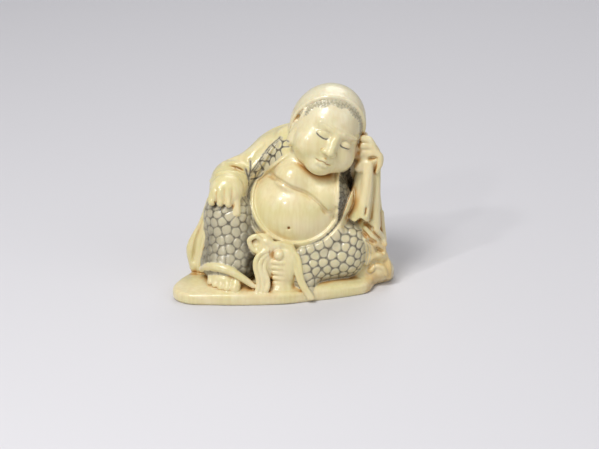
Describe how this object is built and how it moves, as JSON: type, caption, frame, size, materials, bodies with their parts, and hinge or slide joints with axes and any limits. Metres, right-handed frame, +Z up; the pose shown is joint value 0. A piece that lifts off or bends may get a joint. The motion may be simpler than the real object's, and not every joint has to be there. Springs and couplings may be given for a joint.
{
  "type": "netsuke",
  "caption": "Carved ivory netsuke of a seated, stout, hooded figure with open robe, leaning its head on one hand, on a thin ground plate.",
  "frame": {"origin": "middle of the underside's box, on the surface that the figure stands on", "axes": "+Z up, the figure faces -Y, +X towards the figure's left"},
  "size_m": [0.0442, 0.0296, 0.0414],
  "materials": {
    "ivory": "polished ivory, amber in the hollows, with dark ink rubbed into the engraved cloth patterns"
  },
  "bodies": {
    "root": {"figure": "ivory"}
  },
  "joints": []
}
